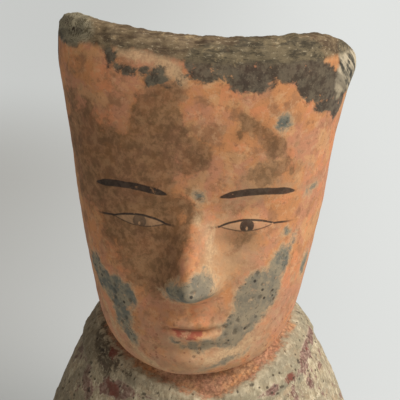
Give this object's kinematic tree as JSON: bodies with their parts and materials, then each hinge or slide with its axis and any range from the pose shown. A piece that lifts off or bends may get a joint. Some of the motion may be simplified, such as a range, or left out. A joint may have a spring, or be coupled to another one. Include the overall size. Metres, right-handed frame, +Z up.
{
  "type": "tomb figurine",
  "caption": "Painted earthenware tomb figurine kept as a bust: broad flared head with swept hair, calm face, crossed robe collar and sloping shoulders, cut flat below.",
  "frame": {"origin": "middle of the flat underside", "axes": "+Z up, the face looks along -Y, +X is towards the figure's left hand"},
  "size_m": [0.0906, 0.0805, 0.1361],
  "materials": {
    "painted_earthenware": "matte"
  },
  "bodies": {
    "root": {"figurine_bust": "painted_earthenware"}
  },
  "joints": []
}
